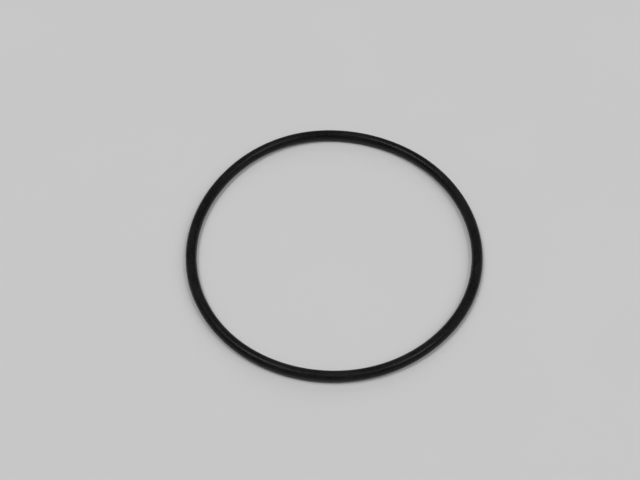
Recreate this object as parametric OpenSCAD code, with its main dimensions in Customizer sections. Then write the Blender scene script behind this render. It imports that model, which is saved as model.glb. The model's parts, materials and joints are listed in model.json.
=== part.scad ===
// Rubber o-ring, moulded in one piece.
// The ring has a round section. The two halves of its mould meet at mid height,
// and the rubber squeezed between them is trimmed off to a thin, low land that
// runs once round the inside and once round the outside.
// The ring lies flat: its axis is Z, and its centre is the origin.

/* [Ring] */
// Inside diameter of the ring, measured on the round section
inside_d = 90; // [20:0.5:300]
// Diameter of the round section
section_d = 3.5; // [1:0.1:12]

/* [Parting line] */
// How far the trimmed flash stands proud of the round section
flash_height = 0.06; // [0.02:0.01:0.1]
// Thickness of the flash along the ring's axis
flash_width = 0.12; // [0.04:0.01:0.3]

/* [Hidden] */

// Steps round the ring and round its section
ring_steps = 240;
section_steps = 72;

// Black of a carbon-filled rubber
rubber_black = [0.10, 0.10, 0.105];

// Radius from the ring's axis to the middle of its section
section_centre_r = (inside_d + section_d) / 2;
// Distance across the section, from the inner land to the outer one
land_span = section_d + 2 * flash_height;

// Cut through the ring: the round of the rubber, and the strip of flash
// whose two ends show as the lands
module ring_section() {
    circle(d = section_d, $fn = section_steps);
    square([land_span, flash_width], center = true);
}

// The ring, as its section turned once round the axis
module o_ring() {
    color(rubber_black)
        rotate_extrude($fn = ring_steps)
            translate([section_centre_r, 0])
                ring_section();
}

o_ring();
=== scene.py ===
# %% [markdown]
# # A black rubber o-ring on a pale table
# An o-ring is about the plainest object there is: a ring of round rubber, moulded in one piece.
# Nothing hides behind detail here, so three things have to be right. The line that the ring
# draws has to bend like rubber and not like wire. The black has to be a surface, with a soft
# sheen and a fine grain, and not a hole in the picture. And the light has to sit on the tube
# where it does in the photograph. The lesson takes them one at a time.

# %% Load the exact model
import json
import math
import bpy
import numpy as np
from mathutils import Matrix, Vector


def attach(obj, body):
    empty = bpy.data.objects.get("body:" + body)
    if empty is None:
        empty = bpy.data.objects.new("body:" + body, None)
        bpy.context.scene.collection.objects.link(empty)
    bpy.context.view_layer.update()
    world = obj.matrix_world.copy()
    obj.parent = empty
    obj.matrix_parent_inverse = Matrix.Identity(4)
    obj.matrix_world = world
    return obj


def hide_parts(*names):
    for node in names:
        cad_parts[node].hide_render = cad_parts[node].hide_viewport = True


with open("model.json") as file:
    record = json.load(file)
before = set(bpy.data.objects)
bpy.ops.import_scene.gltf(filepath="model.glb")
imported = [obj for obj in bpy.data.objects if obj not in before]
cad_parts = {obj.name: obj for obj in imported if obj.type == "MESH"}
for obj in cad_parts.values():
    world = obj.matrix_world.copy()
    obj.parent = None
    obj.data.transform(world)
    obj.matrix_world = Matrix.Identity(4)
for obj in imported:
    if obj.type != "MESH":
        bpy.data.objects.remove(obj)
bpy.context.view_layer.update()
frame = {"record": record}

# %% [markdown]
# ## Sizes come from the frame
# The exact model already holds the real sizes, and its two press fits say them best. The bore
# that a shaft would fill and the wall that a housing would meet are the two edges of the
# parting line, where the halves of the mould met. Halfway between them runs the middle of the
# tube. Reading the sizes here, and not typing them again, keeps this ring the same as that one.
# Only the height of the flash is typed, because no fit states it.

# %% Read the ring's sizes
mm = 0.001
mounts = {mount["name"]: mount["dims"] for mount in frame["record"]["mounts"]}
inner_edge_r = mounts["shaft_seat"]["r_mm"] * mm
outer_edge_r = mounts["housing_seat"]["r_mm"] * mm
flash_width = mounts["shaft_seat"]["length_mm"] * mm
flash_height = 0.06 * mm
ring_r = (inner_edge_r + outer_edge_r) / 2
section_r = (outer_edge_r - inner_edge_r) / 2 - flash_height
print(f"ring radius {ring_r / mm:.2f} mm, section radius {section_r / mm:.2f} mm")

# %% [markdown]
# ## The camera comes first
# A ring lying flat turns into an ellipse in a picture, and that ellipse says where the camera
# was: how far it is squashed gives the height of the view, and how much thicker the near side
# looks than the far side gives the distance. Moving the camera by eye until the curves agree
# is possible but slow. Here each of those facts is a named value, in degrees and ring radii,
# and the camera is worked out from them. It is turned, and not shifted, to bring the ring's
# middle to its place in the picture, so that other views of the ring aren't pushed aside.

# %% Place the camera
picture_px = (640, 480)
ring_middle_px = (333.8, 249.1)
focal_px = 1355.0
view_height = math.radians(57.4)
view_distance = 9.5 * ring_r
camera_roll = math.radians(0.68)

eye = Vector((0, -math.cos(view_height), math.sin(view_height))) * view_distance
camera_data = bpy.data.cameras.new("camera")
camera_data.sensor_width = 36
camera_data.lens = focal_px * camera_data.sensor_width / picture_px[0]
camera_data.clip_start = 0.01
camera = bpy.data.objects.new("camera", camera_data)
bpy.context.scene.collection.objects.link(camera)
bpy.context.scene.camera = camera

turn_right = math.atan((ring_middle_px[0] - picture_px[0] / 2) / focal_px)
turn_down = math.atan((ring_middle_px[1] - picture_px[1] / 2) / focal_px)
aim = (-eye).to_track_quat("-Z", "Y").to_matrix()
aim = aim @ Matrix.Rotation(turn_right, 3, "Y") @ Matrix.Rotation(turn_down, 3, "X")
aim = aim @ Matrix.Rotation(camera_roll, 3, "Z")
camera.matrix_world = Matrix.Translation(eye) @ aim.to_4x4()
print(f"lens {camera_data.lens:.1f} mm, camera {view_distance:.3f} m away")

# %% [markdown]
# ## A small kit for material nodes
# Every finish below is a handful of noise patterns, stretched, mixed and fed to one shader.
# Four short helpers keep that readable. One starts a material, and one adds a node and sets
# or joins its inputs by name. The other two stand for the nodes used most, a sum and a change
# of range. A material built in code this way stays procedural, so it has no picture to stretch
# and is as sharp close up as the pattern is.

# %% Node helpers
def new_material(name):
    """An empty node material with its shader and output joined."""
    material = bpy.data.materials.new(name)
    material.use_nodes = True
    tree = material.node_tree
    tree.nodes.clear()
    shader = tree.nodes.new("ShaderNodeBsdfPrincipled")
    output = tree.nodes.new("ShaderNodeOutputMaterial")
    tree.links.new(shader.outputs["BSDF"], output.inputs["Surface"])
    return material, tree, shader


def add(tree, kind, inputs=None, **settings):
    """A new node with its settings, and its inputs set or joined by name or number."""
    node = tree.nodes.new("ShaderNode" + kind)
    for key, value in settings.items():
        setattr(node, key, value)
    for key, value in (inputs or {}).items():
        if isinstance(value, bpy.types.NodeSocket):
            tree.links.new(value, node.inputs[key])
        else:
            node.inputs[key].default_value = value
    return node


def maths(tree, operation, a, b=0.0, clamp=False):
    """The output of one Math node."""
    return add(tree, "Math", {0: a, 1: b}, operation=operation, use_clamp=clamp).outputs[0]


def remap(tree, value, low, high, to_low, to_high, smooth=False):
    """value taken from the span low to high to the span to_low to to_high, and held there."""
    kind = "SMOOTHSTEP" if smooth else "LINEAR"
    spans = {"Value": value, "From Min": low, "From Max": high, "To Min": to_low, "To Max": to_high}
    return add(tree, "MapRange", spans, interpolation_type=kind).outputs["Result"]


print("helpers ready")

# %% [markdown]
# ## The table
# The table is a plain pale laminate, seen so close that it fills the picture. A pure, even grey
# would look computed, so a very faint cloudiness goes into its colour. It stays under one part
# in a hundred: enough to be felt, and too little to be seen as a pattern. The sheet is large,
# so that all but the lowest views meet table and not its edge.

# %% Make the table
table_reach = 6.0
table_z = -section_r
corners = [(-table_reach, -table_reach), (table_reach, -table_reach),
           (table_reach, table_reach), (-table_reach, table_reach)]
table_mesh = bpy.data.meshes.new("table")
table_mesh.from_pydata([(x, y, table_z) for x, y in corners], [], [(0, 1, 2, 3)])
table = bpy.data.objects.new("table", table_mesh)
bpy.context.scene.collection.objects.link(table)

laminate_grey = 0.798
cloudiness = 0.006
clouds_per_metre = 18.0
laminate, tree, shader = new_material("pale_laminate")
place = add(tree, "TexCoord").outputs["Object"]
cloud = add(tree, "TexNoise", {"Vector": place, "Scale": clouds_per_metre, "Detail": 3.0}).outputs["Fac"]
grey = remap(tree, cloud, 0.3, 0.7, laminate_grey - cloudiness, laminate_grey + cloudiness)
tree.links.new(add(tree, "CombineColor", {0: grey, 1: grey, 2: grey}).outputs[0],
               shader.inputs["Base Color"])
shader.inputs["Roughness"].default_value = 0.75
shader.inputs["Specular IOR Level"].default_value = 0.2
table_mesh.materials.append(laminate)
print(f"table {2 * table_reach:.0f} m wide, {abs(table_z) / mm:.2f} mm below the ring's middle")

# %% [markdown]
# ## The light
# The photograph tells where its lamps were in two ways. The ring throws a soft shadow to the
# left and another to the right, so there is a broad light high on either side. And the sheen
# on the tube sits only where the ring runs askew, at four places, which is where a tube can
# turn its back to both the camera and a lamp. The sheen is short, though the shadows are wide,
# so each lamp is a wide soft box with a hot middle. It is made here as two square lamps, and
# only the hot one shows in the rubber. Two weak lights at the back, one low and one high, draw
# the shadow in front of the near side. A soft box can be small and near or large and far, and
# draws the same shadow. These hang far off, because a near lamp leaves the distant table dark
# in a low view.
# The power of each lamp is worked out from the share of the table's brightness that it gives,
# because shares are easier to judge from a photograph than watts.

# %% Hang the lamps
table_grey = 0.8
table_shown = 0.615
lamp_distance = 8.0


def soft_box(name, azimuth, height, across, share, mirrored=True):
    """A square lamp. Its azimuth runs anticlockwise from the right; its angles are in degrees."""
    a, h = math.radians(azimuth), math.radians(height)
    direction = Vector((math.cos(h) * math.cos(a), math.cos(h) * math.sin(a), math.sin(h)))
    data = bpy.data.lights.new(name, "AREA")
    data.shape = "SQUARE"
    data.size = 2 * lamp_distance * math.tan(math.radians(across) / 2)
    data.energy = share * table_shown * (math.pi * lamp_distance) ** 2 / (table_grey * math.sin(h))
    lamp = bpy.data.objects.new(name, data)
    bpy.context.scene.collection.objects.link(lamp)
    lamp.location = direction * lamp_distance
    lamp.rotation_euler = direction.to_track_quat("Z", "Y").to_euler()
    lamp.visible_camera = False
    lamp.visible_glossy = mirrored
    print(f"{name}: {data.energy:.1f} W, {data.size:.2f} m across")


soft_box("right_middle", azimuth=-17, height=64, across=10, share=0.15)
soft_box("right_wide", azimuth=-8, height=45, across=35, share=0.16, mirrored=False)
soft_box("left_middle", azimuth=183, height=71, across=10, share=0.19)
soft_box("left_wide", azimuth=170, height=68, across=37, share=0.23, mirrored=False)
soft_box("back_low", azimuth=85, height=28, across=34, share=0.08, mirrored=False)
soft_box("back_high", azimuth=90, height=72, across=20, share=0.04, mirrored=False)

# %% [markdown]
# ## The room
# A room is never black, and its dim walls fill the shadows and give the rubber something to
# mirror. A plain world colour does that. What the camera would see past the table's far edge
# is a separate matter: there the world shows the grey that the table has far off, so that a
# low view has no dark band behind the ring, and hardly an edge.

# %% Fill the room
room_share = 0.15
far_table_shown = 0.56
world = bpy.data.worlds.new("room")
bpy.context.scene.world = world
world.use_nodes = True
sky = world.node_tree
sky.nodes.clear()
seen = add(sky, "LightPath").outputs["Is Camera Ray"]
level = remap(sky, seen, 0.0, 1.0, room_share * table_shown / table_grey, far_table_shown)
room = add(sky, "Background", {"Color": (1, 1, 1, 1), "Strength": level})
sky.links.new(room.outputs[0], add(sky, "OutputWorld").inputs["Surface"])
bpy.context.scene.view_settings.view_transform = "Standard"
print(f"the room gives {100 * room_share:.0f}% of the table's light")

# %% [markdown]
# ## How round is a rubber ring
# The mould is a true circle, but the ring isn't held to it. It comes out of a bag or off a
# hook, lies down, and keeps a memory of how it was kept. Laid over the photograph, a perfect
# ellipse misses the outline by up to a pixel, in a slow pattern of three to six bows.
# The highest is a quarter of a millimetre on a ring of this size, far less than the rubber
# gives way in use, and yet the eye reads a curve without them as a drawn line.

# %% Bend the ring
ring_steps = 960
turn = np.arange(ring_steps) * 2 * math.pi / ring_steps


def bow(lobes, height_mm, towards):
    """A gentle wave in the radius with that many high places, one of them at towards, in degrees."""
    return height_mm * mm * np.cos(lobes * (turn - math.radians(towards)))


middle_r = ring_r + bow(3, 0.26, -16) + bow(4, 0.09, 21) + bow(5, 0.04, -26) + bow(6, 0.05, -11)
print(f"radius runs from {middle_r.min() / mm:.2f} to {middle_r.max() / mm:.2f} mm")

# %% [markdown]
# ## The trimmed parting line
# Rubber is squeezed into the mould, and a film of it creeps between the two halves. That film
# is torn or frozen off, which leaves a low land round the inside and the outside of the ring.
# It never comes off evenly. A smooth random curve sets how high it stands from place to place,
# and a few short nicks take it down almost to the round. The same seed gives the same ring
# on every run.

# %% Shape the trimmed edges
chance = np.random.default_rng(11)


def wander(knots):
    """A smooth curve between 0 and 1 round the ring, through that many random heights."""
    heights = chance.random(knots)
    at = turn * knots / (2 * math.pi)
    before = at.astype(int)
    ease = (1 - np.cos(math.pi * (at - before))) / 2
    return heights[before] * (1 - ease) + heights[(before + 1) % knots] * ease


def trimmed_edge(nicks):
    """The flash's height round the ring: uneven, and nearly gone at the nicks."""
    slow, quick = wander(90), wander(310)
    height = 0.45 + 0.35 * slow + 0.20 * quick
    for _ in range(nicks):
        place, reach = chance.random() * 2 * math.pi, math.radians(0.5 + 1.2 * chance.random())
        away = np.abs((turn - place + math.pi) % (2 * math.pi) - math.pi)
        height *= 1 - 0.85 * np.exp(-((away / reach) ** 4))
    return height * flash_height


outer_flash, inner_flash = trimmed_edge(9), trimmed_edge(7)
print(f"outer flash {outer_flash.min() / mm:.3f} to {outer_flash.max() / mm:.3f} mm high")

# %% [markdown]
# ## One section, swept round
# A torus from Blender's menu has no parting line, and a curve with a round bevel has the same
# trouble. So the section's pieces are laid out one by one: an upper arc, a lower arc, and between
# them the two small steps of the land. Sweeping it is a matter of arithmetic, which NumPy does for all
# the rings of points at once. The points sit close enough together that the tube's outline
# stays round at any distance a camera would be used from.

# %% Lay out the section
arc_steps = 40
land_half = flash_width / 2
tip_half = 0.7 * land_half
land_angle = math.asin(land_half / section_r)
upper = np.linspace(land_angle, math.pi - land_angle, arc_steps + 1)
lower = upper + math.pi
outer_tip, inner_tip = [0.0, 0.0], [math.pi, math.pi]
angles = np.concatenate([upper, inner_tip, lower, outer_tip])
out = section_r * np.cos(angles)
up = section_r * np.sin(angles)
inner_at, outer_at = arc_steps + 1, 2 * arc_steps + 4
up[[inner_at, outer_at + 1]] = tip_half
up[[inner_at + 1, outer_at]] = -tip_half
section_points = len(angles)
print(f"{section_points} points in a section")

# %% Sweep it round
radial = middle_r[:, None] + out[None, :]
radial[:, inner_at:inner_at + 2] -= inner_flash[:, None]
radial[:, outer_at:outer_at + 2] += outer_flash[:, None]
points = np.stack([radial * np.cos(turn)[:, None],
                   radial * np.sin(turn)[:, None],
                   np.broadcast_to(up, radial.shape)], axis=-1)

here = np.arange(ring_steps)[:, None]
ahead = (here + 1) % ring_steps
low = np.arange(section_points)[None, :]
high = (low + 1) % section_points
quads = np.stack([here * section_points + low, ahead * section_points + low,
                  ahead * section_points + high, here * section_points + high], axis=-1)

ring_mesh = bpy.data.meshes.new("rubber_ring")
ring_mesh.from_pydata(points.reshape(-1, 3).tolist(), [], quads.reshape(-1, 4).tolist())
ring_mesh.polygons.foreach_set("use_smooth", np.ones(len(ring_mesh.polygons), bool))
ring = bpy.data.objects.new("rubber_ring", ring_mesh)
bpy.context.scene.collection.objects.link(ring)
print(f"{len(ring_mesh.polygons)} faces, or {2 * len(ring_mesh.polygons)} triangles")

# %% [markdown]
# ## Crisp edges on the land
# Smooth shading would roll the light over the little step as if it were a bead. Marking the
# edges where the land leaves the round as sharp keeps the step a step, and leaves the rest of
# the tube smooth.

# %% Mark the sharp edges
corner = np.zeros(section_points, bool)
corner[[0, arc_steps, inner_at, inner_at + 1, inner_at + 2, outer_at - 1, outer_at, outer_at + 1]] = True
ends = np.empty(2 * len(ring_mesh.edges), int)
ring_mesh.edges.foreach_get("vertices", ends)
along_ring = ends[0::2] % section_points == ends[1::2] % section_points
sharp = along_ring & corner[ends[0::2] % section_points]
ring_mesh.attributes.new("sharp_edge", "BOOLEAN", "EDGE").data.foreach_set("value", sharp)
print(f"{sharp.sum()} sharp edges")

# %% [markdown]
# ## Where a point is on the tube
# Most of what marks rubber runs along it or round it: tool marks from the mould, the parting
# line, the way a film of wax blooms. So each point is told its place in those terms. A plain
# length along the ring would jump where the ring closes, and any pattern would show a seam.
# A point on a circle never jumps, so both places are kept as circles, at their true radius.
# The two circles together are a place in a space of four directions, and a noise read there
# closes on itself both along the ring and round the tube.

# %% Store the two circles
sweep = np.stack([np.cos(turn), np.sin(turn), np.zeros(ring_steps)], axis=-1) * ring_r
girth = np.stack([np.cos(angles), np.sin(angles), np.zeros(section_points)], axis=-1) * section_r
along = np.broadcast_to(sweep[:, None, :], points.shape)
around = np.broadcast_to(girth[None, :, :], points.shape)
for name, values in (("along", along), ("around", around)):
    stored = ring_mesh.attributes.new(name, "FLOAT_VECTOR", "POINT")
    stored.data.foreach_set("vector", np.ascontiguousarray(values, np.float32).ravel())
print("stored:", [a.name for a in ring_mesh.attributes if a.name in ("along", "around")])

# %% [markdown]
# ## A flat map of the skin
# When the finish is baked to pictures for other programs, the skin has to lie flat. Unrolled,
# it is a ribbon twenty-six times as long as it is wide, which would waste most of a square
# picture. Cut into five and stacked, it fills the square, and every millimetre of rubber gets
# about the same number of pixels.

# %% Unroll the skin
ribbons = 5
margin = 0.004
steps_each = ring_steps // ribbons
ribbon_length = 2 * math.pi * ring_r / ribbons
per_metre = (1 - 2 * margin) / ribbon_length
section_loop = np.stack([out, up], axis=-1)
section_loop[[inner_at, inner_at + 1], 0] -= flash_height
section_loop[[outer_at, outer_at + 1], 0] += flash_height
sides = np.linalg.norm(np.roll(section_loop, -1, axis=0) - section_loop, axis=1)
across = np.concatenate([[0], np.cumsum(sides)]) * per_metre

place_along = margin + (here % steps_each) / steps_each * (1 - 2 * margin)
place_ahead = place_along + (1 - 2 * margin) / steps_each
floor_of_ribbon = (here // steps_each + 0.5) / ribbons - across[-1] / 2
bottom = floor_of_ribbon + across[:-1][None, :]
top = floor_of_ribbon + across[1:][None, :]
left = np.broadcast_to(place_along, bottom.shape)
right = np.broadcast_to(place_ahead, bottom.shape)
flat = np.stack([np.stack([left, bottom], -1), np.stack([right, bottom], -1),
                 np.stack([right, top], -1), np.stack([left, top], -1)], axis=2)
skin_map = ring_mesh.uv_layers.new(name="OFBake")
skin_map.uv.foreach_set("vector", flat.astype(np.float32).ravel())
print(f"{ribbons} ribbons of {ribbon_length / mm:.0f} by {across[-1] / per_metre / mm:.1f} mm")

# %% [markdown]
# ## Patterns that follow the tube
# This helper is the heart of the finish. It gives cloudy noise whose marks are a stated length
# along the ring and a stated width round it, both in millimetres, so every pattern below can
# be compared with the real thing by its size alone.

# %% Noise along the tube
def counted(tree, circle, step_mm):
    """The X, Y and Z of a stored circle's point, counted in steps of that many millimetres."""
    place = add(tree, "Attribute", attribute_name=circle).outputs["Vector"]
    steps = add(tree, "VectorMath", {0: place, "Scale": 1 / (step_mm * mm)}, operation="SCALE")
    return add(tree, "SeparateXYZ", {0: steps.outputs[0]}).outputs


def tube_noise(tree, length_mm, width_mm, detail=2.0, rough=0.5, seed=0.0):
    """Noise from 0 to 1 with marks of that length along the ring and that width round it."""
    run = counted(tree, "along", length_mm)
    lap = counted(tree, "around", width_mm)
    spot = add(tree, "CombineXYZ", {0: run[0], 1: run[1], 2: lap[0]})
    fourth = maths(tree, "ADD", lap[1], seed)
    noise = add(tree, "TexNoise", {"Vector": spot.outputs[0], "W": fourth, "Scale": 1.0,
                                   "Detail": detail, "Roughness": rough}, noise_dimensions="4D")
    return noise.outputs["Fac"]


rubber, tree, shader = new_material("black_rubber")
print("patterns ready")

# %% [markdown]
# ## Bloom and handling
# Rubber is mixed with wax and oil that slowly come to the surface, and fingers wipe them off
# again. What is left is a patchy film, a shade lighter and duller than clean rubber. Two cloud
# patterns make it, one in stretches of a centimetre and one in flecks of a millimetre. The
# film lifts the black a little and roughens the sheen, and because both come from the same
# pattern, light and dull places agree, as they do on a real film.

# %% Spread the film
clean_black, filmed_black = 0.0080, 0.0155
clean_dullness, filmed_dullness = 0.25, 0.37
stretches_share = 0.55

stretches = tube_noise(tree, 11.0, 2.4, detail=3.0, seed=3.1)
flecks = tube_noise(tree, 1.2, 0.7, detail=4.0, rough=0.65, seed=7.7)
film = maths(tree, "ADD", maths(tree, "MULTIPLY", stretches, stretches_share),
             maths(tree, "MULTIPLY", flecks, 1 - stretches_share))
film = remap(tree, film, 0.40, 0.62, 0.0, 1.0, smooth=True)
black = remap(tree, film, 0.0, 1.0, clean_black, filmed_black)
dullness = remap(tree, film, 0.0, 1.0, clean_dullness, filmed_dullness)
print("film spread")

# %% [markdown]
# ## Scuffs
# A ring is rolled over edges and into grooves, so hair-thin scuffs run along it. They are the
# peaks of a noise drawn out to many times its width: taking only what stands above a level
# turns a cloud into separate lines. They are greyer and duller than the skin round them.

# %% Draw the scuffs
hairs = remap(tree, tube_noise(tree, 5.0, 0.09, detail=1.0, seed=4.6), 0.66, 0.78, 0.0, 1.0)
patches = remap(tree, tube_noise(tree, 9.0, 3.0, detail=1.0, seed=8.3), 0.48, 0.62, 0.0, 1.0, smooth=True)
scuffs = maths(tree, "MULTIPLY", hairs, patches)
scuff_greyer, scuff_duller = 0.012, 0.15
black = maths(tree, "ADD", black, maths(tree, "MULTIPLY", scuffs, scuff_greyer))
dullness = maths(tree, "ADD", dullness, maths(tree, "MULTIPLY", scuffs, scuff_duller))
print("scuffs drawn")

# %% [markdown]
# ## Dust
# Black rubber shows every speck. A Voronoi pattern gives scattered points, and a disc round
# each one would look like a print of dots. So only some points keep their disc, chosen by the
# random colour that the pattern gives to each, and that colour sets the disc's size as well.

# %% Settle the dust
def specks(tree, spacing_mm, size_mm, share):
    """Small discs from 0 to 1, about that far apart and at most that wide, at a share of the points."""
    place = add(tree, "TexCoord").outputs["Object"]
    points = add(tree, "TexVoronoi", {"Vector": place, "Scale": 1 / (spacing_mm * mm)})
    luck = add(tree, "SeparateColor", {0: points.outputs["Color"]})
    kept = maths(tree, "LESS_THAN", luck.outputs[0], share)
    reach = maths(tree, "MULTIPLY", luck.outputs[1], 0.5 * size_mm / spacing_mm)
    near = maths(tree, "LESS_THAN", points.outputs["Distance"], reach)
    return maths(tree, "MULTIPLY", kept, near)


dust = specks(tree, spacing_mm=0.9, size_mm=0.16, share=0.35)
dust_greyer, dust_duller = 0.045, 0.35
black = maths(tree, "ADD", black, maths(tree, "MULTIPLY", dust, dust_greyer))
dullness = maths(tree, "ADD", dullness, maths(tree, "MULTIPLY", dust, dust_duller))
print("dust settled")

# %% [markdown]
# ## The land is torn rubber
# Where the flash was trimmed the surface is broken, so it scatters more light and looks greyer
# than the moulded skin. The land is found by its height above or below the ring's middle
# plane, and its edge is worn into by fine noise so that it doesn't read as a painted stripe.

# %% Dull the land
height = add(tree, "SeparateXYZ", {0: add(tree, "TexCoord").outputs["Object"]}).outputs["Z"]
wear_depth = 0.10 * mm
torn_half, moulded_half = 0.10 * mm, 0.16 * mm
torn_greyer, torn_duller = 0.012, 0.25
ragged = maths(tree, "MULTIPLY", tube_noise(tree, 0.9, 0.3, detail=4.0, seed=1.4), wear_depth)
level = maths(tree, "ADD", maths(tree, "ABSOLUTE", height), ragged)
torn = remap(tree, level, torn_half, moulded_half, 1.0, 0.0, smooth=True)
black = maths(tree, "ADD", black, maths(tree, "MULTIPLY", torn, torn_greyer))
dullness = maths(tree, "ADD", dullness, maths(tree, "MULTIPLY", torn, torn_duller), clamp=True)
print("land dulled")

# %% [markdown]
# ## Grain in the surface
# The mould was turned on a lathe and then blasted, and rubber copies steel faithfully. So there
# are faint lines along the tube, crossed by a fine even grain, and under both a slow unevenness
# that comes from the rubber itself and breaks up the long highlight. Each goes to its own Bump
# node with a height in true millimetres, one feeding the next, so none of them swamps another.

# %% Raise the grain
def bump(tree, height_map, height_mm, under=None):
    """A Bump node of that height. under is the output of the bump that it lies on."""
    inputs = {"Height": height_map, "Distance": height_mm * mm, "Strength": 1.0}
    if under is not None:
        inputs["Normal"] = under
    return add(tree, "Bump", inputs).outputs["Normal"]


swell_mm, lathe_mm, grain_mm = 0.020, 0.006, 0.011
swell = bump(tree, tube_noise(tree, 2.6, 1.3, detail=2.0, seed=5.9), swell_mm)
lathe = bump(tree, tube_noise(tree, 16.0, 0.15, detail=1.0, seed=9.2), lathe_mm, swell)
grain = bump(tree, tube_noise(tree, 0.16, 0.16, detail=3.0, rough=0.6, seed=2.3), grain_mm, lathe)
tree.links.new(grain, shader.inputs["Normal"])
print("grain raised")

# %% [markdown]
# ## The shader
# Everything now meets in one shader. Carbon black takes nearly all the light, so the colour is
# only a little above nothing, and what the eye reads as rubber is the broad, weak highlight.
# The specular level stands at a third of its usual 0.5. That gives the photograph's faint
# sheen, and suits a blasted and filmed skin, of which only a part still mirrors. It is the
# same all over, so it goes on the socket.

# %% Finish the rubber
tree.links.new(add(tree, "CombineColor", {0: black, 1: black, 2: black}).outputs[0],
               shader.inputs["Base Color"])
tree.links.new(dullness, shader.inputs["Roughness"])
shader.inputs["Specular IOR Level"].default_value = 0.17
shader.inputs["IOR"].default_value = 1.5
ring_mesh.materials.append(rubber)
print(f"{len(tree.nodes)} nodes in the rubber")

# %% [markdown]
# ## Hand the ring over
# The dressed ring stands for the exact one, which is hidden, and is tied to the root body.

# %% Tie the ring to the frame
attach(ring, "root")
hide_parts("o_ring")
